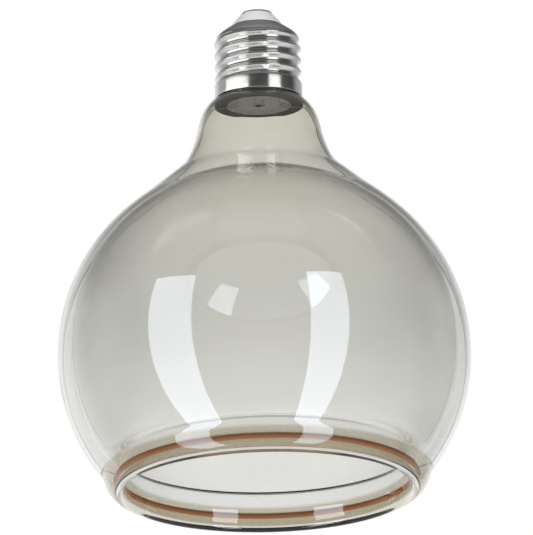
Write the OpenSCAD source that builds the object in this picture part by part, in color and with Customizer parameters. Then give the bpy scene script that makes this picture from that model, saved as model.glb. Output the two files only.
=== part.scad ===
// Open double-walled glass globe lamp with an E27 screw cap.
// The cap points up (+Z), the front is -Y, and the lamp stands on its rim at z = 0.

/* [Globe] */
// Largest diameter of the outer glass
globe_d = 124.7; // [120:0.1:130]
// Largest diameter of the inner glass, over its outside
inner_d = 116.7; // [114:0.1:117]
// Height of the globe's widest level above the rim
globe_z = 43; // [42:0.1:44]
// Half height of the outer glass, from its widest level to its pole
globe_half_h = 59.7; // [59:0.1:60.5]
// Thickness of the outer glass
outer_wall = 1.1; // [0.8:0.1:1.3]
// Thickness of the inner glass
inner_wall = 0.8; // [0.7:0.1:1.1]

/* [Rim] */
// Radius at which the two glass walls are fused together
seam_r = 44.8; // [44.5:0.1:45]
// Radius of the rounded edge of the rim
bead_r = 1.5; // [1.4:0.1:1.7]
// Inner radius of the collar round the open mouth
collar_r = 42; // [41:0.5:42.5]
// Height of the shelf where the collar turns out into the inner glass
shelf_z = 12.4; // [12:0.1:13]

/* [Cap] */
// Height of the cap's lower edge above the rim
skirt_z = 123.6; // [123.4:0.1:123.8]
// Radius of the plain skirt
skirt_r = 13.25; // [13.2:0.05:13.3]
// Height of the plain skirt
skirt_h = 4.5; // [4:0.1:5]
// Radius of the thread's crest
crest_r = 13.15; // [13.03:0.01:13.22]
// Radius of the thread's root
root_r = 12.15; // [12.1:0.01:12.2]
// Pitch of the thread
pitch = 3.629; // [3.6:0.001:3.65]
// Thickness of the shell's sheet
shell_t = 0.4; // [0.3:0.05:0.4]

/* [Filament] */
// Radius of the filament ring
filament_r = 45; // [44.8:0.1:45.2]
// Height of the filament ring above the rim
filament_z = 5.1; // [4.9:0.1:5.3]
// Diameter of the phosphor coat
phosphor_d = 1.7; // [1.4:0.1:1.8]
// Number of light-emitting dice on each half ring
die_count = 36; // [12:4:40]

/* [Driver] */
// Outer radius of the cup that holds the driver
cup_r = 9.9; // [9.7:0.1:10]
// Width of the circuit board
board_w = 14; // [13:1:15]
// Height of the circuit board
board_h = 13.5; // [13:0.5:13.5]

/* [Hidden] */
$fn = 96;
eps = 0.01;

// Outer glass: where each stretch of its outline ends, as [radius, height]
neck_lip = [11.4, skirt_z + 6.4];
neck_lip_foot = [11.4, skirt_z + 1.8];
neck_top = [12.85, skirt_z - 0.05];
neck_waist = [19.2, skirt_z - 11.9];
neck_root = [26, skirt_z - 23.6];
shoulder_r = 38;
lip_z = 7;
outer_half_w = globe_d / 2;
shoulder_t = asin(shoulder_r / outer_half_w);
lip_t = acos((lip_z - globe_z) / globe_half_h);
shoulder = oval_point(outer_half_w, globe_half_h, globe_z, shoulder_t);
lip_top = oval_point(outer_half_w, globe_half_h, globe_z, lip_t);
rim_floor = 1.5;

// Inner glass: its bell side is one wall in from its outside, and its dome is a little fuller than an oval
bell_z = globe_z + 0.8;
bell_half_w = inner_d / 2 - inner_wall;
bell_half_h = bell_half_w - 2.35;
inner_top_z = bell_z + bell_half_h + inner_wall;
dome_power = 2.13;
shelf_top_z = shelf_z + 3.2;
shelf_t = acos((shelf_top_z - bell_z) / bell_half_h);
shelf_top = oval_point(bell_half_w, bell_half_h, bell_z, shelf_t);

// Thread: it starts at the skirt and fades out below the shoulder
thread_z = skirt_z + skirt_h;
thread_h = 14.2;
shoulder_z = thread_z + thread_h;
shell_top_z = skirt_z + 22.9;
contact_top_z = skirt_z + 27.1;
thread_mean_r = (crest_r + root_r) / 2;
thread_depth = crest_r - root_r;
thread_steps = 36;
thread_rows = 44;
thread_fade = 1.2;
crest_start = 6.35;
shell_bore_r = root_r - shell_t;
shell_mouth_r = 7.9;
contact_t = 0.4;
contact_r = 4.6;
insulator_h = contact_top_z - shell_top_z - contact_t;
insulator_foot = 2;
insulator_top_r = 4.7;
pin_r = 1;
shoulder_steps = 8;
shoulder_t_low = 0.9;

// Stem disc and driver levels
stem_z = skirt_z - 2.1;
stem_t = 1.3;
stem_r = 9.85;
exhaust_r = 2;
exhaust_h = 5.2;
cup_z = skirt_z + 0.4;
cup_wall = 0.9;
cup_h = 17.5;
board_z = cup_z + 3.6;
board_t = 1;
output_x = 6.4;
wire_r = 0.35;
lead_r = 0.15;
lead_clear = 0.25;

// Parts on the driver's board, with the front ones centred at [x, z] above the board's lower edge
front_y = -board_t / 2;
rear_y = board_t / 2;
capacitor_r = 3.1;
capacitor_h = 10;
fuse_r = 1.2;
fuse_h = 5.5;
choke_r = 2.5;
choke_neck_r = 1.4;
choke_h = 5;
choke_flange = 0.8;
choke_at = [3.6, front_y - choke_r - 0.1, board_z + 0.8];
package_h = 3.8;
package_z = board_z + 0.6;
bridge_t = 1.6;
chip_t = 1.4;
small_chip = [0.8, 0.6, 1.6];
radio_w = 11;
radio_h = 7.6;
radio_t = 0.8;
radio_z = board_z + 5.4;
shield = [6.6, 1.8, 6];
trace_w = 0.4;
trace_t = 0.15;
trace_runs = 4;
trace_step = 0.9;
trace_h = 6;

// Filament half rings
strip_w = 0.8;
strip_t = 0.4;
die_w = 0.6;
die_t = 0.2;
clamp_r = 1.05;
clamp_angle = 2.6;
strip_end_angle = 0.6;
phosphor_end_angle = clamp_angle + 0.3;

// Point on a cubic curve through p0 and p3 that leaves towards p1 and arrives from p2
function curve_point(p0, p1, p2, p3, t) =
    pow(1 - t, 3) * p0 + 3 * t * pow(1 - t, 2) * p1 + 3 * t * t * (1 - t) * p2 + pow(t, 3) * p3;
function curve(p0, p1, p2, p3, steps) = [for (i = [1:steps]) curve_point(p0, p1, p2, p3, i / steps)];

// Point on an upright oval, at an angle measured from its top pole
function oval_point(half_w, half_h, centre_z, angle) =
    [half_w * sin(angle), centre_z + half_h * cos(angle)];
function oval(half_w, half_h, centre_z, start, end, steps) =
    [for (i = [1:steps]) oval_point(half_w, half_h, centre_z, start + (end - start) * i / steps)];

// From the widest level up to the pole, a little fuller than an oval
function dome(half_w, half_h, centre_z, steps) =
    [for (i = [1:steps]) let (angle = 90 * (1 - i / steps))
        [half_w * pow(sin(angle), 2 / dome_power), centre_z + half_h * pow(cos(angle), 2 / dome_power)]];

function arc(centre, r, start, end, steps) =
    [for (i = [0:steps]) centre + r * [cos(start + (end - start) * i / steps), sin(start + (end - start) * i / steps)]];

function unit(v) = v / norm(v);
function last(points) = len(points) - 1;
function reversed(points) = [for (i = [last(points):-1:0]) points[i]];

// Direction of a line of points at one of them, and the same line moved sideways by a distance
function heading(points, i) = unit(points[min(i + 1, last(points))] - points[max(i - 1, 0)]);
function beside(points, distance) =
    [for (i = [0:last(points)]) let (h = heading(points, i)) points[i] + distance * [h[1], -h[0]]];

// Outside of the outer glass from the neck's lip down to the rim's lip
function outer_line() = concat(
    [neck_lip, neck_lip_foot],
    curve(neck_lip_foot, neck_lip_foot - [0, 1], neck_top + [-0.6, 0.6], neck_top, 5),
    curve(neck_top, neck_top + [3.55, -2.45], neck_waist + [-1.2, 6.5], neck_waist, 12),
    curve(neck_waist, neck_waist + [1.8, -6.1], neck_root + [-3.5, 2.8], neck_root, 14),
    curve(neck_root, neck_root + [4, -3.1], shoulder + [-4, 3], shoulder, 6),
    oval(outer_half_w, globe_half_h, globe_z, shoulder_t, lip_t, 42));

// Outside of the rim's lip, from the globe down to the seam
function lip_line() =
    let (edge = arc([seam_r, bead_r], bead_r, -60, -90, 4))
    concat(curve(lip_top, lip_top + [-0.7, -2.2], edge[0] + [3.2, 1.6], edge[0], 14), edge);

// Bell side of the inner glass, from the seam up the collar, over the shelf and up to the pole
function bell_line() = concat(
    arc([seam_r, bead_r], bead_r, -90, -180, 8),
    curve([seam_r - bead_r, bead_r], [seam_r - bead_r, 3.5], [collar_r, 5], [collar_r, 8], 8),
    curve([collar_r, 8], [collar_r, shelf_z - 0.6], [collar_r + 0.6, shelf_z], [collar_r + 3, shelf_z], 8),
    curve([collar_r + 3, shelf_z], [collar_r + 5.2, shelf_z], shelf_top - [1.2, 2], shelf_top, 8),
    oval(bell_half_w, bell_half_h, bell_z, shelf_t, 90, 18),
    dome(bell_half_w, bell_half_h, bell_z, 34));

// Side of each wall that faces the gap, ending at the floor of the rim
gap_floor = [seam_r, rim_floor];
function outer_gap_line() =
    let (inside = beside(outer_line(), outer_wall), end = inside[last(inside)])
    concat(inside, curve(end, end + [-0.8, -2.4], gap_floor + [2.6, 0], gap_floor, 10));
function inner_gap_line() =
    let (outside = beside(bell_line(), inner_wall), above = [for (p = outside) if (p[1] > rim_floor + 0.8) p])
    concat([[0, inner_top_z]], [for (i = [last(above) - 1:-1:0]) above[i]], [gap_floor + [-0.7, 0.25], gap_floor]);

// Outline of the space inside the neck
function neck_space() =
    let (inside = [for (p = outer_gap_line()) if (p[1] > neck_waist[1]) p])
    concat([[0, inside[0][1]]], inside, [[0, inside[last(inside)][1]]]);

// Round bar along a list of points, with a ring of sides at each point
module sweep(points, r, sides = 8) {
    rings = [for (i = [0:last(points)])
        let (h = heading(points, i), u = unit(cross(h, [0, 1, 0.001])), v = cross(h, u))
        for (k = [0:sides - 1]) points[i] + r * (cos(360 * k / sides) * u + sin(360 * k / sides) * v)];
    ends = [[for (k = [0:sides - 1]) k],
        [for (k = [sides - 1:-1:0]) last(points) * sides + k]];
    walls = [for (i = [0:last(points) - 1]) for (k = [0:sides - 1])
        let (n = (k + 1) % sides)
        each [[i * sides + k, (i + 1) * sides + k, (i + 1) * sides + n],
            [i * sides + k, (i + 1) * sides + n, i * sides + n]]];
    polyhedron(rings, concat(ends, walls));
}

// Straight round bar between two points
module bar(from, to, r) {
    run = to - from;
    translate(from)
        rotate([0, atan2(norm([run[0], run[1]]), run[2]), atan2(run[1], run[0])])
            cylinder(r = r, h = norm(run));
}

// Bent wire of straight bars with round corners
module bent_wire(points, r) {
    for (i = [0:last(points) - 1]) bar(points[i], points[i + 1], r);
    for (i = [1:last(points) - 1]) translate(points[i]) sphere(r);
}

// Box centred on x and y that stands on z
module block(size, centre) {
    translate(centre + [-size[0] / 2, -size[1] / 2, 0]) cube(size);
}

// Glass
module outer_globe() {
    color([0.72, 0.71, 0.67, 0.35]) rotate_extrude()
        polygon(concat(outer_line(), lip_line(), reversed(outer_gap_line())));
}

module inner_globe() {
    color([0.72, 0.71, 0.67, 0.35]) rotate_extrude()
        polygon(concat(bell_line(), inner_gap_line()));
}

// Glass disc across the neck, with holes for the two leads and the exhaust tube
module stem_disc() {
    color([0.6, 0.6, 0.58]) translate([0, 0, stem_z]) difference() {
        cylinder(r = stem_r, h = stem_t);
        translate([0, 0, -1]) cylinder(r = exhaust_r, h = stem_t + 2);
        for (side = [-1, 1]) translate([side * output_x, 0, -1]) cylinder(r = lead_r, h = stem_t + 2);
    }
}

// Dark ring that seals the disc to the neck
module stem_seal() {
    color([0.2, 0.2, 0.19]) difference() {
        intersection() {
            rotate_extrude() polygon(neck_space());
            translate([0, 0, stem_z]) cylinder(r = outer_half_w, h = stem_t);
        }
        translate([0, 0, stem_z - 1]) cylinder(r = stem_r, h = stem_t + 2);
    }
}

// Stub through which the gap is filled with gas, melted shut at its top
module exhaust_tube() {
    color([0.6, 0.6, 0.58]) translate([0, 0, stem_z]) rotate_extrude()
        polygon(concat([[exhaust_r, 0]], arc([0, exhaust_h - exhaust_r], exhaust_r, 0, 90, 10),
            [[0, exhaust_h - 1], [exhaust_r / 2, exhaust_h - exhaust_r], [exhaust_r / 2, 0]]));
}

// Screw shell: a plain skirt, a rolled thread and a rounded shoulder
function thread_radius(z, angle) =
    let (rise = z - skirt_z - crest_start - pitch * (angle - 180) / 360,
        fade = min(1, (z - thread_z) / thread_fade, (shoulder_z - z) / thread_fade))
    thread_mean_r + thread_depth / 2 * cos(360 * rise / pitch) * max(fade, 0);
function thread_point(row, step) =
    let (z = thread_z + thread_h * row / thread_rows, angle = 360 * step / thread_steps,
        r = thread_radius(z, angle))
    [r * cos(angle), r * sin(angle), z];

module thread_body() {
    points = [for (row = [0:thread_rows]) for (step = [0:thread_steps - 1]) thread_point(row, step)];
    walls = [for (row = [0:thread_rows - 1]) for (step = [0:thread_steps - 1])
        let (next = (step + 1) % thread_steps, low = row * thread_steps, high = low + thread_steps)
        each [[low + step, high + step, high + next], [low + step, high + next, low + next]]];
    ends = [[for (step = [0:thread_steps - 1]) step],
        [for (step = [thread_steps - 1:-1:0]) thread_rows * thread_steps + step]];
    polyhedron(points, concat(ends, walls));
}

module shell_skirt() {
    translate([0, 0, skirt_z]) difference() {
        cylinder(r = skirt_r, h = skirt_h);
        translate([0, 0, -1]) cylinder(r = skirt_r - shell_t, h = skirt_h + 1 - shell_t);
        cylinder(r = shell_bore_r, h = skirt_h + 1);
    }
}

module shell_shoulder() {
    foot = [thread_mean_r, shoulder_z];
    mouth = [shell_mouth_r, shell_top_z];
    outside = concat([foot], curve(foot, foot + [-0.2, 1.3], mouth + [1.6, -1.2], mouth, shoulder_steps));
    inside = [mouth - [0, shell_t], foot - [shoulder_t_low, 0]];
    rotate_extrude() polygon(concat(outside, inside));
}

module screw_shell() {
    color([0.75, 0.75, 0.77]) {
        shell_skirt();
        difference() {
            thread_body();
            translate([0, 0, thread_z - 1]) cylinder(r = shell_bore_r, h = thread_h + 2);
        }
        shell_shoulder();
    }
}

// White tapered insulator, held in the shell's mouth
module contact_insulator() {
    color("white") difference() {
        union() {
            translate([0, 0, shell_top_z - insulator_foot]) cylinder(r = shell_mouth_r, h = insulator_foot);
            translate([0, 0, shell_top_z]) cylinder(r1 = shell_mouth_r, r2 = insulator_top_r, h = insulator_h);
        }
        translate([0, 0, shell_top_z - insulator_foot - 1])
            cylinder(r = pin_r, h = insulator_foot + insulator_h + 2);
    }
}

// Centre contact: a thin disc on a solid pin
module contact_disc() {
    color([0.78, 0.78, 0.8]) {
        translate([0, 0, contact_top_z - contact_t]) cylinder(r = contact_r, h = contact_t);
        translate([0, 0, shell_top_z - insulator_foot])
            cylinder(r = pin_r, h = insulator_foot + insulator_h + contact_t / 2);
    }
}

module cap_cement() {
    color([0.35, 0.34, 0.32]) translate([0, 0, neck_lip_foot[1]]) difference() {
        cylinder(r = skirt_r - shell_t, h = skirt_h - shell_t - 1.8);
        translate([0, 0, -1]) cylinder(r = neck_lip[0], h = skirt_h);
    }
}

// Driver cup: open at its top, with holes in its floor for the leads and the exhaust tube
module driver_cup() {
    color([0.5, 0.5, 0.49]) translate([0, 0, cup_z]) difference() {
        cylinder(r = cup_r, h = cup_h);
        translate([0, 0, cup_wall]) cylinder(r = cup_r - cup_wall, h = cup_h);
        translate([0, 0, -1]) cylinder(r = exhaust_r + 0.3, h = 3);
        for (side = [-1, 1]) translate([side * output_x, 0, -1]) cylinder(r = wire_r + 0.15, h = 3);
    }
}

module driver_board() {
    color([0.1, 0.35, 0.2]) block([board_w, board_t, board_h], [0, 0, board_z]);
}

module bulk_capacitor() {
    color([0.12, 0.12, 0.14]) translate([-3.3, front_y - capacitor_r, board_z + 1.5])
        cylinder(r = capacitor_r, h = capacitor_h);
}

module choke_core() {
    color([0.22, 0.22, 0.23]) translate(choke_at) {
        cylinder(r = choke_neck_r, h = choke_h);
        cylinder(r = choke_r, h = choke_flange);
        translate([0, 0, choke_h - choke_flange]) cylinder(r = choke_r, h = choke_flange);
        block([2, 1.2, choke_flange], [0, choke_r - 0.5, 0]);
    }
}

module choke_winding() {
    color([0.72, 0.42, 0.2]) translate(choke_at + [0, 0, choke_flange]) difference() {
        cylinder(r = choke_r - 0.3, h = choke_h - 2 * choke_flange);
        translate([0, 0, -1]) cylinder(r = choke_neck_r, h = choke_h);
    }
}

module fuse_resistor() {
    color([0.4, 0.55, 0.4]) translate([3.8, front_y - fuse_r, board_z + 7])
        cylinder(r = fuse_r, h = fuse_h);
}

module bridge_rectifier() {
    color([0.14, 0.14, 0.15]) block([4.6, bridge_t, package_h], [-4, rear_y + bridge_t / 2, package_z]);
}

module driver_chip() {
    color([0.14, 0.14, 0.15]) block([4.8, chip_t, package_h], [3.2, rear_y + chip_t / 2, package_z]);
}

// Small chip resistors and capacitors in the strip of board between the larger parts
module chip_parts() {
    color([0.2, 0.2, 0.22]) for (x = [-1.1, -0.1], z = [1, 3.2])
        block(small_chip, [x, rear_y + small_chip[1] / 2, board_z + z]);
}

// Wireless module on the rear of the board: its own board, a shield can and a meander aerial
module radio_board() {
    color([0.1, 0.2, 0.35]) block([radio_w, radio_t, radio_h], [0, rear_y + radio_t / 2, radio_z]);
}

module radio_shield() {
    color([0.7, 0.7, 0.72]) block(shield, [-1.6, rear_y + radio_t + shield[1] / 2, radio_z + 0.8]);
}

module radio_antenna() {
    color([0.8, 0.65, 0.3]) translate([2.2, rear_y + radio_t, radio_z + 0.8]) {
        for (i = [0:trace_runs - 1]) translate([i * trace_step, 0, 0]) cube([trace_w, trace_t, trace_h]);
        for (i = [0:trace_runs - 2])
            translate([i * trace_step, 0, i % 2 == 0 ? 0 : trace_h - trace_w])
                cube([trace_step + trace_w, trace_t, trace_w]);
    }
}

// Wires from the board to the cap's two contacts
module live_wire() {
    color("black") bar([0, 0, board_z + board_h], [0, 0, shell_top_z - insulator_foot], wire_r);
}

module neutral_wire() {
    top = board_z + board_h;
    color("navy") bent_wire([[6, 0, top], [6, 0, top + 0.9], [8.4, 0, top + 1.5], [shell_bore_r, 0, top - 0.5]],
        wire_r);
}

// Wires from the board's lower edge down to the sealed leads
module output_wires() {
    color([0.75, 0.2, 0.15]) for (side = [-1, 1])
        bar([side * output_x, 0, lead_top[1]], [side * output_x, 0, board_z], wire_r);
}

// Lead from the stem disc along the inside of the outer glass to the end of the filament
lead_top = [output_x, stem_z + stem_t + 0.4];
lead_foot = [output_x, stem_z - 0.2];
lead_end = [filament_r, filament_z + clamp_r - eps];
lead_wall = [for (p = beside(outer_line(), outer_wall + lead_clear)) if (p[1] < stem_z - 0.6) p];
lead_low = lead_wall[last(lead_wall)];
lead_path = concat(
    [lead_top, lead_foot],
    curve(lead_foot, lead_foot - [0, 0.6], lead_wall[0] + [-1.5, 0.6], lead_wall[0], 8),
    [for (i = [1:last(lead_wall)]) lead_wall[i]],
    curve(lead_low, lead_low - [0.8, 0.6], lead_end + [0.6, 1.6], lead_end, 6));

module lead_wire(side) {
    color([0.45, 0.4, 0.36]) sweep([for (p = lead_path) [side * p[0], 0, p[1]]], lead_r);
}
module lead_wire_left() lead_wire(-1);
module lead_wire_right() lead_wire(1);

// Half ring swept round the axis, from an outline centred on the filament; the front half is below y = 0
module half_ring(front, end_angle) {
    translate([0, 0, filament_z])
        rotate([0, 0, (front ? 180 : 0) + end_angle])
            rotate_extrude(angle = 180 - 2 * end_angle)
                translate([filament_r, 0]) children();
}

module filament_strip(front) {
    color([0.8, 0.78, 0.7]) half_ring(front, strip_end_angle) translate([-strip_w / 2, -strip_t])
        square([strip_w, strip_t]);
}
module filament_strip_front() filament_strip(true);
module filament_strip_rear() filament_strip(false);

// Light-emitting dice in a row on top of the strip
module led_dice(front) {
    span = 180 - 2 * phosphor_end_angle - 4;
    color([0.9, 0.8, 0.3]) for (i = [0:die_count - 1])
        rotate([0, 0, (front ? 180 : 0) + phosphor_end_angle + 2 + span * i / (die_count - 1)])
            translate([filament_r, 0, filament_z]) block([die_w, 1.2, die_t], [0, 0, 0]);
}
module led_dice_front() led_dice(true);
module led_dice_rear() led_dice(false);

// Phosphor coat round the strip, hollow where the strip and the dice lie
module phosphor(front) {
    color([0.85, 0.5, 0.2]) half_ring(front, phosphor_end_angle) difference() {
        circle(d = phosphor_d, $fn = 32);
        translate([-strip_w / 2, -strip_t]) square([strip_w, strip_t + die_t]);
    }
}
module phosphor_front() phosphor(true);
module phosphor_rear() phosphor(false);

// Metal sleeve that joins the ends of the two half rings to the lead
module filament_clamp(side) {
    color([0.3, 0.28, 0.26]) translate([0, 0, filament_z])
        rotate([0, 0, (side < 0 ? 180 : 0) - clamp_angle]) rotate_extrude(angle = 2 * clamp_angle)
            translate([filament_r, 0]) difference() {
                circle(r = clamp_r, $fn = 32);
                translate([-strip_w / 2, -strip_t]) square([strip_w, strip_t]);
            }
}
module filament_clamp_left() filament_clamp(-1);
module filament_clamp_right() filament_clamp(1);

contact_disc();
contact_insulator();
screw_shell();
cap_cement();
driver_cup();
driver_board();
bridge_rectifier();
bulk_capacitor();
choke_core();
choke_winding();
driver_chip();
fuse_resistor();
chip_parts();
radio_board();
radio_shield();
radio_antenna();
live_wire();
neutral_wire();
output_wires();
stem_disc();
stem_seal();
exhaust_tube();
lead_wire_left();
lead_wire_right();
outer_globe();
inner_globe();
filament_strip_front();
filament_strip_rear();
led_dice_front();
led_dice_rear();
phosphor_front();
phosphor_rear();
filament_clamp_left();
filament_clamp_right();
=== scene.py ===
"""Looks of an open double-walled glass globe lamp with a screw cap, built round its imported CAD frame."""
import math

import bmesh
import bpy
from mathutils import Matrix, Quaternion, Vector

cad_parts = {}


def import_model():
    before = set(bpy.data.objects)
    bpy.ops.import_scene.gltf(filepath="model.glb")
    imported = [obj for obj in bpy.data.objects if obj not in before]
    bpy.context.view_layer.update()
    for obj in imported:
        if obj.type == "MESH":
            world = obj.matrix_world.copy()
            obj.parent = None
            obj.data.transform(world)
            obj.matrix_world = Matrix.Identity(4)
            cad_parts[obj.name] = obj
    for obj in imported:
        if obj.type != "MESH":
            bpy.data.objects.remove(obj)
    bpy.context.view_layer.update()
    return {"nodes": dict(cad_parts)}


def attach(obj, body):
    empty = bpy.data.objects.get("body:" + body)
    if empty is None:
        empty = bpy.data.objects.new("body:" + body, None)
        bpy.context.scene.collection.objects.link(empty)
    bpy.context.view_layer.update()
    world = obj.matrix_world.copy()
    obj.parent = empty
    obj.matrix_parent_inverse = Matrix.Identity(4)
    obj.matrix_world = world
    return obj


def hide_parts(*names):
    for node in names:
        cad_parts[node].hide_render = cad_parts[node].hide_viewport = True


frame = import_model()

MM = 0.001
WHITE = (1, 1, 1)

# ---- Sizes in mm, the same as the CAD part's, apart from CREST_POWER, which narrows the crests ----

GLOBE_HALF_W = 62.35
GLOBE_HALF_H = 59.7
GLOBE_Z = 43
WALL = 1.1
INNER_WALL = 0.8
INNER_HALF_W = 58.35
BELL_HALF_W = INNER_HALF_W - INNER_WALL
BELL_FLATTENING = 2.35
BELL_HALF_H = BELL_HALF_W - BELL_FLATTENING
BELL_Z = 43.8
BELL_TOP_Z = BELL_Z + BELL_HALF_H + INNER_WALL
DOME_POWER = 2.13
SEAM_R = 44.8
BEAD_R = 1.5
COLLAR_R = 42
COLLAR_TOP_Z = 8
SHELF_REACH = 3
SHELF_Z = 12.4
SHELF_TOP_Z = 15.6
RIM_FLOOR = 1.5
SHOULDER_R = 38
LIP_Z = 7

SKIRT_Z = 123.6
SKIRT_R = 13.25
SKIRT_H = 4.5
THREAD_R = 12.65
THREAD_DEPTH = 1.0
THREAD_Z = SKIRT_Z + SKIRT_H
THREAD_H = 14.2
THREAD_FADE = 1.2
CREST_START = 6.35
CREST_POWER = 1.5
PITCH = 3.629
SHELL_TOP_Z = 146.5
SHELL_T = 0.4
SHELL_BORE_R = 11.75
MOUTH_R = 7.9
INSULATOR_TOP_R = 4.7
INSULATOR_TOP_Z = 150.3
CONTACT_R = 4.6
CONTACT_TOP_Z = 150.7
CONTACT_H = 0.4
PIN_R = 1.0
SEAT_DEPTH = 2

# ---- Fineness of the meshes ----

TURN_STEPS = 256
SMALL_TURN_STEPS = 128
THREAD_ROWS = 142
ON_AXIS = 1e-6
SHARP_DEGREES = 40
GLASS_SHARP_DEGREES = 60


# ---- Outlines: lists of (radius, height) points in mm ----

def plus(a, b):
    """Point a moved by step b."""
    return (a[0] + b[0], a[1] + b[1])


def curve(p0, p1, p2, p3, steps):
    """Points 1 to steps of the cubic curve from p0 to p3."""
    points = []
    for i in range(1, steps + 1):
        t = i / steps
        a, b, c, d = (1 - t) ** 3, 3 * t * (1 - t) ** 2, 3 * t * t * (1 - t), t ** 3
        points.append((a * p0[0] + b * p1[0] + c * p2[0] + d * p3[0],
                       a * p0[1] + b * p1[1] + c * p2[1] + d * p3[1]))
    return points


def oval_point(half_w, half_h, centre_z, angle):
    """Point on an upright oval, at an angle in radians from its top pole."""
    return (half_w * math.sin(angle), centre_z + half_h * math.cos(angle))


def oval(half_w, half_h, centre_z, start, end, steps):
    """Points 1 to steps of an upright oval, between two angles in radians from its top pole."""
    return [oval_point(half_w, half_h, centre_z, start + (end - start) * i / steps)
            for i in range(1, steps + 1)]


def straight(start, end, steps):
    """Points 1 to steps of the straight line from start to end."""
    return [(start[0] + (end[0] - start[0]) * i / steps, start[1] + (end[1] - start[1]) * i / steps)
            for i in range(1, steps + 1)]


def dome(half_w, half_h, centre_z, steps):
    """From the widest level up to the pole, a little fuller than an oval."""
    points = []
    for i in range(1, steps + 1):
        angle = math.pi / 2 * (1 - i / steps)
        points.append((half_w * max(math.sin(angle), 0) ** (2 / DOME_POWER),
                       centre_z + half_h * max(math.cos(angle), 0) ** (2 / DOME_POWER)))
    return points


def arc(centre, r, start, end, steps):
    """Arc between two angles in degrees, ends included."""
    points = []
    for i in range(steps + 1):
        angle = math.radians(start + (end - start) * i / steps)
        points.append((centre[0] + r * math.cos(angle), centre[1] + r * math.sin(angle)))
    return points


def beside(points, distance):
    """The same line moved sideways."""
    moved = []
    for i, point in enumerate(points):
        before, after = points[max(i - 1, 0)], points[min(i + 1, len(points) - 1)]
        run = Vector((after[0] - before[0], after[1] - before[1])).normalized()
        moved.append((point[0] + distance * run.y, point[1] - distance * run.x))
    return moved


# Places where the curves of the glass meet, and their angles on the two ovals.

NECK_LIP_R = 11.4
NECK_LIP = (NECK_LIP_R, SKIRT_Z + 6.4)
NECK_LIP_FOOT = (NECK_LIP_R, SKIRT_Z + 1.8)
NECK_TOP = (12.85, SKIRT_Z - 0.05)
NECK_WAIST = (19.2, SKIRT_Z - 11.9)
NECK_ROOT = (26, SKIRT_Z - 23.6)
shoulder_t = math.asin(SHOULDER_R / GLOBE_HALF_W)
lip_t = math.acos((LIP_Z - GLOBE_Z) / GLOBE_HALF_H)
shelf_t = math.acos((SHELF_TOP_Z - BELL_Z) / BELL_HALF_H)
shoulder = oval_point(GLOBE_HALF_W, GLOBE_HALF_H, GLOBE_Z, shoulder_t)
lip_top = oval_point(GLOBE_HALF_W, GLOBE_HALF_H, GLOBE_Z, lip_t)
shelf_top = oval_point(BELL_HALF_W, BELL_HALF_H, BELL_Z, shelf_t)
gap_floor = (SEAM_R, RIM_FLOOR)


def outer_line():
    """Outside of the outer glass from the neck's lip down to the rim's lip."""
    return ([NECK_LIP, NECK_LIP_FOOT]
            + curve(NECK_LIP_FOOT, plus(NECK_LIP_FOOT, (0, -1)), plus(NECK_TOP, (-0.6, 0.6)), NECK_TOP, 6)
            + curve(NECK_TOP, plus(NECK_TOP, (3.55, -2.45)), plus(NECK_WAIST, (-1.2, 6.5)), NECK_WAIST, 16)
            + curve(NECK_WAIST, plus(NECK_WAIST, (1.8, -6.1)), plus(NECK_ROOT, (-3.5, 2.8)), NECK_ROOT, 18)
            + curve(NECK_ROOT, plus(NECK_ROOT, (4, -3.1)), plus(shoulder, (-4, 3)), shoulder, 8)
            + oval(GLOBE_HALF_W, GLOBE_HALF_H, GLOBE_Z, shoulder_t, lip_t, 60))


def lip_line():
    """Outside of the rim's lip, from the globe down to the seam."""
    edge = arc((SEAM_R, BEAD_R), BEAD_R, -60, -90, 4)
    return curve(lip_top, plus(lip_top, (-0.7, -2.2)), plus(edge[0], (3.2, 1.6)), edge[0], 18) + edge[1:]


def bell_line():
    """Bell side of the inner glass, from the seam up the collar, over the shelf and up to the pole."""
    collar_foot = (SEAM_R - BEAD_R, BEAD_R)
    collar_top = (COLLAR_R, COLLAR_TOP_Z)
    shelf = (COLLAR_R + SHELF_REACH, SHELF_Z)
    return (arc((SEAM_R, BEAD_R), BEAD_R, -90, -180, 10)
            + curve(collar_foot, (collar_foot[0], 3.5), (COLLAR_R, 5), collar_top, 10)
            + curve(collar_top, (COLLAR_R, SHELF_Z - 0.6), (COLLAR_R + 0.6, SHELF_Z), shelf, 10)
            + curve(shelf, (COLLAR_R + 5.2, SHELF_Z), plus(shelf_top, (-1.2, -2)), shelf_top, 10)
            + oval(BELL_HALF_W, BELL_HALF_H, BELL_Z, shelf_t, math.pi / 2, 24)
            + dome(BELL_HALF_W, BELL_HALF_H, BELL_Z, 48))


def outer_gap_line():
    """Gap side of the outer glass, from the neck's lip down to the gap's floor."""
    inside = beside(outer_line(), WALL)
    end = inside[-1]
    return inside + curve(end, plus(end, (-0.8, -2.4)), plus(gap_floor, (2.6, 0)), gap_floor, 12)


def inner_gap_line():
    """Gap side of the inner glass, from the pole down to the gap's floor, with a soft corner there."""
    corner_h = 0.8
    corner = plus(gap_floor, (-0.7, 0.25))
    outside = [p for p in beside(bell_line(), INNER_WALL) if p[1] > RIM_FLOOR + corner_h]
    return [(0, BELL_TOP_Z)] + outside[-2::-1] + [corner, gap_floor]


# ---- Mesh builders ----

def mesh_object(name, verts, faces, material, sharp=SHARP_DEGREES):
    """Object from points in mm, with its faces turned outwards and edges sharp above an angle in degrees."""
    mesh = bpy.data.meshes.new(name)
    mesh.from_pydata([Vector(v) * MM for v in verts], [], faces)
    work = bmesh.new()
    work.from_mesh(mesh)
    bmesh.ops.recalc_face_normals(work, faces=work.faces)
    work.to_mesh(mesh)
    work.free()
    mesh.shade_smooth()
    mesh.set_sharp_from_angle(angle=math.radians(sharp))
    mesh.materials.append(material)
    made = bpy.data.objects.new(name, mesh)
    bpy.context.scene.collection.objects.link(made)
    return made


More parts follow.
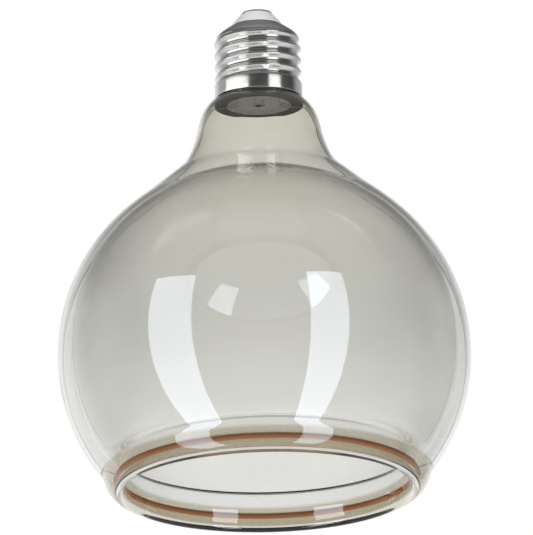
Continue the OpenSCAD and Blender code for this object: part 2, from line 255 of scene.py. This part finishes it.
def revolved(name, outline, material, steps=TURN_STEPS, sharp=SHARP_DEGREES, ripple=None):
    """A closed outline turned round the Z axis. ripple(height, angle) is added to an outline point's radius
    where the point has a third value, which scales it."""
    verts, rings = [], []
    for point in outline:
        if point[0] < ON_AXIS:
            rings.append([len(verts)] * steps)
            verts.append((0, 0, point[1]))
            continue
        rings.append(list(range(len(verts), len(verts) + steps)))
        for k in range(steps):
            angle = 2 * math.pi * k / steps
            r = point[0]
            if len(point) > 2:
                r += point[2] * ripple(point[1], angle)
            verts.append((r * math.cos(angle), r * math.sin(angle), point[1]))
    faces = []
    for low, high in zip(rings, rings[1:] + rings[:1]):
        for k in range(steps):
            n = (k + 1) % steps
            corners = list(dict.fromkeys([low[k], low[n], high[n], high[k]]))
            if len(corners) > 2:
                faces.append(corners)
    return mesh_object(name, verts, faces, material, sharp)


# ---- Materials ----

MOTTLE_START = 0.35
MOTTLE_END = 0.65
GLASS_IOR = 1.5
GLASS_WAVE_MM = 16
GLASS_WAVE_HEIGHT_MM = 0.02
METAL_CLOUD_MM = 3
METAL_DARK = 0.92
METAL_GLOSS = (0.8, 1.25)
MATT_GLOSS = (0.85, 1.15)


class Shader:
    """A node material with one Principled shader and a few ways to vary it over the surface."""

    def __init__(self, name, **sockets):
        self.material = bpy.data.materials.new(name)
        self.material.use_nodes = True
        self.tree = self.material.node_tree
        self.surface = self.tree.nodes["Principled BSDF"]
        self.output = self.tree.nodes["Material Output"]
        self.bump = None
        self.place = self.tree.nodes.new("ShaderNodeTexCoord").outputs["Object"]
        for socket, value in sockets.items():
            self.surface.inputs[socket.replace("_", " ")].default_value = value

    def node(self, kind, **values):
        """New node, with values for its input sockets and its settings."""
        made = self.tree.nodes.new(kind)
        for key, value in values.items():
            if key in made.inputs:
                made.inputs[key].default_value = value
            else:
                setattr(made, key, value)
        return made

    def link(self, a, b):
        self.tree.links.new(a, b)

    def stretched(self, stretch):
        """The surface's own coordinates, scaled by a factor on each axis."""
        scale = self.node("ShaderNodeVectorMath", operation="MULTIPLY")
        scale.inputs[1].default_value = stretch
        self.link(self.place, scale.inputs[0])
        return scale.outputs[0]

    def noise(self, size_mm, detail=3, roughness=0.5, stretch=(1, 1, 1)):
        """Noise with features of about a size in mm."""
        made = self.node("ShaderNodeTexNoise", Scale=1 / (size_mm * MM), Detail=detail, Roughness=roughness)
        self.link(self.stretched(stretch), made.inputs["Vector"])
        return made.outputs["Fac"]

    def spread(self, source, low, high, start=0.3, end=0.7):
        """A source in 0 to 1 carried over to low to high."""
        made = self.node("ShaderNodeMapRange")
        for key, value in zip(("From Min", "From Max", "To Min", "To Max"), (start, end, low, high)):
            made.inputs[key].default_value = value
        self.link(source, made.inputs["Value"])
        return made.outputs["Result"]

    def ramp(self, source, *stops):
        """A source in 0 to 1 carried over to colours, from stops of (place, colour)."""
        made = self.node("ShaderNodeValToRGB")
        elements = made.color_ramp.elements
        while len(elements) < len(stops):
            elements.new(1)
        for element, (place, colour) in zip(elements, stops):
            element.position = place
            element.color = (*colour, 1)
        self.link(source, made.inputs["Fac"])
        return made.outputs["Color"]

    def colour_by(self, source, low, high):
        """Base colour between two shades."""
        shades = self.ramp(source, (MOTTLE_START, low), (MOTTLE_END, high))
        self.link(shades, self.surface.inputs["Base Color"])

    def roughness_by(self, source, low, high):
        """Roughness between two values."""
        self.link(self.spread(source, low, high), self.surface.inputs["Roughness"])

    def raise_by(self, source, height_mm):
        """Bump from a source in 0 to 1; a second call adds to the first."""
        made = self.node("ShaderNodeBump", Distance=height_mm * MM)
        self.link(source, made.inputs["Height"])
        if self.bump:
            self.link(self.bump, made.inputs["Normal"])
        self.bump = made.outputs["Normal"]
        self.link(self.bump, self.surface.inputs["Normal"])


def glass(name, colour, density, specular, *colour_stops_by_height):
    """Blown glass: a tint that deepens with thickness, a faint waviness and, from stops of (height in mm,
    colour), a base colour that changes with height."""
    shader = Shader(name, Roughness=0.0, IOR=GLASS_IOR, Specular_IOR_Level=specular, Transmission_Weight=1,
                    Base_Color=(*WHITE, 1))
    shader.raise_by(shader.noise(GLASS_WAVE_MM, detail=1), GLASS_WAVE_HEIGHT_MM)
    if colour_stops_by_height:
        full = NECK_LIP[1]
        height = shader.node("ShaderNodeSeparateXYZ")
        shader.link(shader.place, height.inputs[0])
        share = shader.spread(height.outputs["Z"], 0, 1, 0, full * MM)
        colours_by_height = shader.ramp(share, *((z / full, stop_colour) for z, stop_colour in colour_stops_by_height))
        shader.link(colours_by_height, shader.surface.inputs["Base Color"])
    tint = shader.node("ShaderNodeVolumeAbsorption", Color=(*colour, 1), Density=density)
    shader.link(tint.outputs["Volume"], shader.output.inputs["Volume"])
    return shader.material


def metal(name, colour, rough, grain_mm, stretch, scratch_mm):
    """Plated or bare metal with grain along one direction, cloudy roughness and fine scratches."""
    shader = Shader(name, Metallic=1.0)
    cloud = shader.noise(METAL_CLOUD_MM, detail=4)
    grain = shader.noise(grain_mm, detail=2, stretch=stretch)
    dark = tuple(METAL_DARK * c for c in colour)
    shader.colour_by(cloud, dark, colour)
    shader.roughness_by(cloud, rough * METAL_GLOSS[0], rough * METAL_GLOSS[1])
    shader.raise_by(grain, scratch_mm)
    return shader.material


def matt(name, low, high, size_mm, rough, bump_mm):
    """Plastic, ceramic, board or wire: two close shades in a fine mottle, with uneven gloss and a skin of
    bump."""
    shader = Shader(name)
    mottle = shader.noise(size_mm, detail=5, roughness=0.6)
    shader.colour_by(mottle, low, high)
    shader.roughness_by(shader.noise(size_mm * 4), rough * MATT_GLOSS[0], rough * MATT_GLOSS[1])
    shader.raise_by(mottle, bump_mm)
    return shader.material


# Looks by the CAD nodes' slot names, and "contact", which only the centre contact has.

MATERIALS = {
    # Base colour by height: brown on the rim's lip, clear above, greyer on the globe, darker at the neck.
    "smoked_glass": glass("smoked_glass_look", (0.40, 0.40, 0.26), 50, 0.5,
                          (0, (0.95, 0.94, 0.90)), (1.5, (0.72, 0.67, 0.57)), (6.6, (0.72, 0.67, 0.57)),
                          (7.4, (1, 1, 1)), (26, (1, 1, 0.985)), (46, (0.940, 0.942, 0.925)),
                          (62, (0.924, 0.924, 0.91)), (80, (0.943, 0.94, 0.923)), (94, (0.965, 0.952, 0.925)),
                          (101, (0.91, 0.895, 0.845)), (108, (0.872, 0.862, 0.80))),
    "clear_glass": glass("clear_glass_look", (0.45, 0.45, 0.42), 1100, 0.0),
    "nickel": metal("nickel_look", (0.74, 0.73, 0.72), 0.17, 0.5, (1, 1, 8), 0.0012),
    "contact": metal("contact_look", (0.36, 0.35, 0.34), 0.5, 0.6, (1, 1, 1), 0.002),
    "tin_can": metal("tin_can_look", (0.70, 0.70, 0.71), 0.28, 0.4, (1, 1, 1), 0.004),
    "lead_metal": metal("lead_metal_look", (0.30, 0.29, 0.27), 0.35, 0.2, (1, 1, 1), 0.004),
    "clamp_metal": metal("clamp_metal_look", (0.30, 0.28, 0.26), 0.38, 0.3, (1, 1, 1), 0.006),
    "copper_wire": metal("copper_wire_look", (0.80, 0.42, 0.24), 0.25, 0.25, (1, 1, 4), 0.02),
    "gold_trace": metal("gold_trace_look", (0.86, 0.66, 0.30), 0.25, 0.3, (1, 1, 1), 0.002),
    "white_insulator": matt("white_insulator_look", (0.86, 0.86, 0.85), (0.90, 0.90, 0.89), 2, 0.28, 0.004),
    "cement": matt("cement_look", (0.03, 0.029, 0.026), (0.06, 0.058, 0.052), 0.5, 0.9, 0.08),
    "grey_plastic": matt("grey_plastic_look", (0.44, 0.44, 0.43), (0.50, 0.50, 0.49), 0.6, 0.45, 0.01),
    "green_board": matt("green_board_look", (0.02, 0.14, 0.06), (0.03, 0.20, 0.09), 0.5, 0.35, 0.006),
    "blue_board": matt("blue_board_look", (0.02, 0.06, 0.20), (0.03, 0.09, 0.27), 0.5, 0.35, 0.006),
    "black_package": matt("black_package_look", (0.018, 0.018, 0.019), (0.032, 0.032, 0.033), 0.2, 0.5,
                          0.008),
    "capacitor_sleeve": matt("capacitor_sleeve_look", (0.012, 0.014, 0.03), (0.02, 0.022, 0.045), 1, 0.3,
                             0.004),
    "ferrite": matt("ferrite_look", (0.03, 0.03, 0.032), (0.055, 0.055, 0.06), 0.3, 0.6, 0.02),
    "resistor_body": matt("resistor_body_look", (0.16, 0.28, 0.16), (0.22, 0.36, 0.21), 0.6, 0.5, 0.01),
    "chip_ceramic": matt("chip_ceramic_look", (0.05, 0.05, 0.055), (0.10, 0.10, 0.11), 0.3, 0.4, 0.01),
    "black_wire": matt("black_wire_look", (0.012, 0.012, 0.012), (0.022, 0.022, 0.022), 1, 0.4, 0.006),
    "blue_wire": matt("blue_wire_look", (0.012, 0.04, 0.30), (0.02, 0.06, 0.38), 1, 0.4, 0.006),
    "red_wire": matt("red_wire_look", (0.20, 0.012, 0.01), (0.28, 0.02, 0.015), 1, 0.4, 0.006),
    "strip_ceramic": matt("strip_ceramic_look", (0.72, 0.70, 0.64), (0.80, 0.78, 0.72), 0.4, 0.5, 0.006),
    "led_die": matt("led_die_look", (0.55, 0.50, 0.22), (0.70, 0.64, 0.30), 0.2, 0.2, 0.002),
    "phosphor": matt("phosphor_look", (0.80, 0.30, 0.10), (0.88, 0.38, 0.14), 0.35, 0.5, 0.03),
}


# ---- Pieces that stand for CAD nodes ----

def double_wall_glass():
    """Outer and inner glass as one blown piece, fused at the rim."""
    outline = outer_line() + lip_line() + bell_line()[1:] + inner_gap_line() + outer_gap_line()[-2::-1]
    piece = revolved("double_wall_glass", outline, MATERIALS["smoked_glass"], sharp=GLASS_SHARP_DEGREES)
    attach(piece, "root")
    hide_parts("outer_globe", "inner_globe")
    return piece


def thread_wave(z, angle):
    """Height of the thread over its mean radius, from -1 at the round root to 1 at the narrower crest."""
    rise = z - SKIRT_Z - CREST_START - PITCH * (math.degrees(angle) - 180) / 360
    swell = (1 + math.cos(2 * math.pi * rise / PITCH)) / 2
    return 2 * swell ** CREST_POWER - 1


def thread_scale(z):
    """Half the thread's depth, fading to nothing at its two ends."""
    fade = min(1, (z - THREAD_Z) / THREAD_FADE, (THREAD_Z + THREAD_H - z) / THREAD_FADE)
    return THREAD_DEPTH / 2 * max(fade, 0)


def screw_shell():
    """Rolled sheet: a plain skirt with a turned edge, the thread and a rounded shoulder."""
    edge = SHELL_T / 2
    bend = 0.35
    skirt_top = THREAD_Z - bend
    shoulder_z = THREAD_Z + THREAD_H
    shoulder_foot = (THREAD_R, shoulder_z)
    mouth = (MOUTH_R, SHELL_TOP_Z)
    outline = (arc((SKIRT_R - edge, SKIRT_Z + edge), edge, 180, 360, 10)
               + [(SKIRT_R, SKIRT_Z + SKIRT_H / 3), (SKIRT_R, SKIRT_Z + 2 * SKIRT_H / 3)]
               + arc((SKIRT_R - bend, skirt_top), bend, 0, 60, 6))
    thread = [(THREAD_R, THREAD_Z + THREAD_H * i / THREAD_ROWS) for i in range(THREAD_ROWS + 1)]
    outline += [(r, z, thread_scale(z)) for r, z in thread]
    outline += curve(shoulder_foot, plus(shoulder_foot, (-0.2, 1.3)), plus(mouth, (1.6, -1.2)), mouth, 20)
    outline += [(MOUTH_R, SHELL_TOP_Z - SHELL_T), (SHELL_BORE_R, shoulder_z)]
    outline += [(SHELL_BORE_R, THREAD_Z - SHELL_T), (SKIRT_R - SHELL_T, THREAD_Z - SHELL_T)]
    piece = revolved("rolled_screw_shell", outline, MATERIALS["nickel"], ripple=thread_wave)
    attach(piece, "root")
    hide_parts("screw_shell")
    return piece


def insulator():
    """White tapered insulator with soft edges."""
    corner = 0.7
    foot_r = MOUTH_R - 0.02
    foot = (foot_r, SHELL_TOP_Z + 0.1)
    top = (INSULATOR_TOP_R, INSULATOR_TOP_Z)
    slope = Vector((foot[0] - top[0], foot[1] - top[1])).normalized()
    below_top = (top[0] + corner * slope.x, top[1] + corner * slope.y)
    outline = [(PIN_R, SHELL_TOP_Z - SEAT_DEPTH), (foot_r, SHELL_TOP_Z - SEAT_DEPTH), foot]
    outline += straight(foot, below_top, 6)
    outline += curve(below_top, top, top, (top[0] - corner, top[1]), 8)
    outline += [(PIN_R, INSULATOR_TOP_Z)]
    piece = revolved("tapered_insulator", outline, MATERIALS["white_insulator"], steps=SMALL_TURN_STEPS)
    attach(piece, "root")
    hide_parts("contact_insulator")
    return piece


def contact():
    """Centre contact: a thin disc with a turned edge, on its pin."""
    edge = 0.15
    face_r = 3
    low = CONTACT_TOP_Z - CONTACT_H
    outline = [(0, SHELL_TOP_Z - SEAT_DEPTH), (PIN_R, SHELL_TOP_Z - SEAT_DEPTH), (PIN_R, low)]
    outline += arc((CONTACT_R - edge, low + edge), edge, -90, 0, 5)
    outline += arc((CONTACT_R - edge, CONTACT_TOP_Z - edge), edge, 0, 90, 5)
    outline += [(face_r, CONTACT_TOP_Z), (0, CONTACT_TOP_Z)]
    piece = revolved("centre_contact", outline, MATERIALS["contact"], steps=SMALL_TURN_STEPS)
    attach(piece, "root")
    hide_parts("contact_disc")
    return piece


def dress_cad_nodes():
    """Each CAD node takes the look that has its slot's name."""
    for node in frame["nodes"].values():
        for place in node.material_slots:
            place.material = MATERIALS[place.material.name.split(".")[0]]


# ---- Stage, in metres and degrees ----

CAMERA_AIM = Vector((1.2, 0, 70.47)) * MM
CAMERA_ELEVATION = -16.3
CAMERA_DISTANCE = 6.0
CAMERA_ROLL = 1.3
FRAME_WIDTH = 160.93 * MM
CAMERA_RANGE = 100
SENSOR = 36.0
FLOOR_Z = -2.0
FLOOR_HALF_MM = 40000
FLOOR_MOTTLE_MM = 900
FLOOR_GLOW = 0.55
LAMP_MIDDLE_Z = 0.06
BEHIND = (-0.2, 0.98, 0)
STRIP_TOP = 31
STRIP_RADIANCE = 7.4
STRIP_COLOUR = (0.80, 0.88, 1.0)
CAP_LIGHT_LOW = -14
CAP_LIGHT_HIGH = 24
CAP_RADIANCE = 1.5
GLASS_BOUNCES = 32
GLOSSY_BOUNCES = 12
DIFFUSE_BOUNCES = 4


def direction(azimuth, elevation):
    """Unit vector towards an azimuth, 0 being -Y and 90 being +X, and an elevation, in degrees."""
    a, e = math.radians(azimuth), math.radians(elevation)
    return Vector((math.sin(a) * math.cos(e), -math.cos(a) * math.cos(e), math.sin(e)))


def camera():
    """Far camera with a long lens, a little below the lamp and rolled a little."""
    data = bpy.data.cameras.new("camera")
    data.sensor_width = SENSOR
    data.sensor_fit = "HORIZONTAL"
    data.lens = SENSOR * CAMERA_DISTANCE / FRAME_WIDTH
    data.clip_end = CAMERA_RANGE
    made = bpy.data.objects.new("camera", data)
    back = direction(0, CAMERA_ELEVATION)
    made.location = CAMERA_AIM + back * CAMERA_DISTANCE
    made.rotation_mode = "QUATERNION"
    roll = Quaternion((0, 0, 1), -math.radians(CAMERA_ROLL))
    made.rotation_quaternion = (-back).to_track_quat("-Z", "Y") @ roll
    bpy.context.scene.collection.objects.link(made)
    bpy.context.scene.camera = made


def softbox(name, azimuth, low, high, width, radiance, colour, distance=1.0, diffuse=True, glossy=True,
            only_on=()):
    """Upright area light at a distance, between two elevations as seen from the lamp's middle. It is never
    seen itself, straight or through glass. diffuse and glossy say what it lights and shows in, and only_on
    lists the only pieces that it lights."""
    bottom = distance * math.tan(math.radians(low))
    top = distance * math.tan(math.radians(high))
    data = bpy.data.lights.new(name, "AREA")
    data.shape = "RECTANGLE"
    data.size = width
    data.size_y = top - bottom
    data.energy = radiance * math.pi * width * (top - bottom)
    data.color = colour
    made = bpy.data.objects.new(name, data)
    towards = direction(azimuth, 0)
    made.location = towards * distance + Vector((0, 0, LAMP_MIDDLE_Z + (top + bottom) / 2))
    made.rotation_mode = "QUATERNION"
    made.rotation_quaternion = (-towards).to_track_quat("-Z", "Y")
    made.visible_camera = False
    made.visible_transmission = False
    made.visible_diffuse = diffuse
    made.visible_glossy = glossy
    bpy.context.scene.collection.objects.link(made)
    if only_on:
        receivers = bpy.data.collections.new(name + "_receivers")
        for piece in only_on:
            receivers.objects.link(piece)
        made.light_linking.receiver_collection = receivers


def floor():
    """Pale plain floor that glows a little, well below the lamp. Only the camera sees it."""
    shader = Shader("floor_look", Roughness=0.8)
    shader.colour_by(shader.noise(FLOOR_MOTTLE_MM, detail=2), (0.80, 0.80, 0.80), (0.84, 0.84, 0.84))
    shader.surface.inputs["Emission Color"].default_value = (*WHITE, 1)
    shader.surface.inputs["Emission Strength"].default_value = FLOOR_GLOW
    half = FLOOR_HALF_MM
    corners = [(-half, -half, 0), (half, -half, 0), (half, half, 0), (-half, half, 0)]
    made = mesh_object("floor", [Vector(c) + Vector((0, 0, FLOOR_Z / MM)) for c in corners], [(0, 1, 2, 3)],
                       shader.material)
    for kind in ("diffuse", "glossy", "transmission", "shadow"):
        setattr(made, "visible_" + kind, False)


def world():
    """Bright behind and below the lamp, dim beside it and above. The camera itself sees plain white."""
    made = bpy.data.worlds.new("studio")
    made.use_nodes = True
    tree = made.node_tree
    nodes, links = tree.nodes, tree.links
    background = nodes["Background"]
    spot = nodes.new("ShaderNodeSeparateXYZ")
    links.new(nodes.new("ShaderNodeTexCoord").outputs["Generated"], spot.inputs[0])

    def levels(source, *stops):
        """Brightness by a part of the view direction, from stops of (part, brightness)."""
        unit = nodes.new("ShaderNodeMapRange")
        unit.inputs["From Min"].default_value = -1
        links.new(source, unit.inputs["Value"])
        ramp = nodes.new("ShaderNodeValToRGB")
        ramp.color_ramp.interpolation = "B_SPLINE"
        elements = ramp.color_ramp.elements
        while len(elements) < len(stops):
            elements.new(1)
        for element, (part, brightness) in zip(elements, stops):
            element.position = (part + 1) / 2
            element.color = (brightness, brightness, brightness, 1)
        links.new(unit.outputs["Result"], ramp.inputs["Fac"])
        return ramp.outputs["Color"]

    def combine(operation, a, b):
        """Result of a maths operation on two sources."""
        part = nodes.new("ShaderNodeMath")
        part.operation = operation
        links.new(a, part.inputs[0])
        links.new(b, part.inputs[1])
        return part.outputs[0]

    behind = nodes.new("ShaderNodeVectorMath")
    behind.operation = "DOT_PRODUCT"
    behind.inputs[1].default_value = BEHIND
    links.new(nodes.new("ShaderNodeTexCoord").outputs["Generated"], behind.inputs[0])
    backdrop = levels(behind.outputs["Value"], (-0.1, 0), (0.1, 0.15), (0.35, 0.55), (0.72, 0.5), (0.87, 1),
                      (0.93, 1), (1, 1))
    height = levels(spot.outputs["Z"], (-0.6, 0.9), (-0.3, 1), (0.36, 1), (0.52, 0.15))
    above_and_below = levels(spot.outputs["Z"], (-1, 0.9), (-0.6, 0.9), (-0.3, 0.4), (0.05, 0.12),
                             (0.3, 0.05), (0.6, 0.10), (0.95, 0.3))
    seen = nodes.new("ShaderNodeLightPath").outputs["Is Camera Ray"]
    studio = combine("MAXIMUM", combine("MULTIPLY", backdrop, height), above_and_below)
    strength = combine("MAXIMUM", studio, seen)
    background.inputs["Color"].default_value = (*WHITE, 1)
    links.new(strength, background.inputs["Strength"])
    bpy.context.scene.world = made


def light_paths():
    """Plain view colours, and bounces enough for rays to pass through every glass wall."""
    scene = bpy.context.scene
    scene.view_settings.view_transform = "Standard"
    scene.cycles.max_bounces = GLASS_BOUNCES
    scene.cycles.transmission_bounces = GLASS_BOUNCES
    scene.cycles.glossy_bounces = GLOSSY_BOUNCES
    scene.cycles.diffuse_bounces = DIFFUSE_BOUNCES
    scene.cycles.blur_glossy = 0.0


camera()
light_paths()
world()
floor()
dress_cad_nodes()
globe = double_wall_glass()
cap = (screw_shell(), insulator(), contact())
softbox("softbox_left", azimuth=-52, low=-60, high=STRIP_TOP, width=0.46, radiance=STRIP_RADIANCE,
        colour=STRIP_COLOUR, diffuse=False, only_on=[globe])
softbox("softbox_right", azimuth=36, low=-58, high=STRIP_TOP, width=0.38, radiance=STRIP_RADIANCE,
        colour=STRIP_COLOUR, diffuse=False, only_on=[globe])
softbox("cap_left", azimuth=-60, low=CAP_LIGHT_LOW, high=CAP_LIGHT_HIGH, width=1.35,
        radiance=CAP_RADIANCE, colour=WHITE, diffuse=False, only_on=cap)
softbox("cap_right", azimuth=44, low=CAP_LIGHT_LOW, high=CAP_LIGHT_HIGH, width=0.56,
        radiance=CAP_RADIANCE, colour=WHITE, diffuse=False, only_on=cap)
softbox("side_fill", azimuth=-60, low=-25, high=25, width=1.9, radiance=0.9, colour=WHITE, distance=1.8,
        glossy=False)
softbox("front_fill", azimuth=10, low=-30, high=60, width=2.0, radiance=1.6, colour=WHITE, distance=1.5,
        glossy=False)
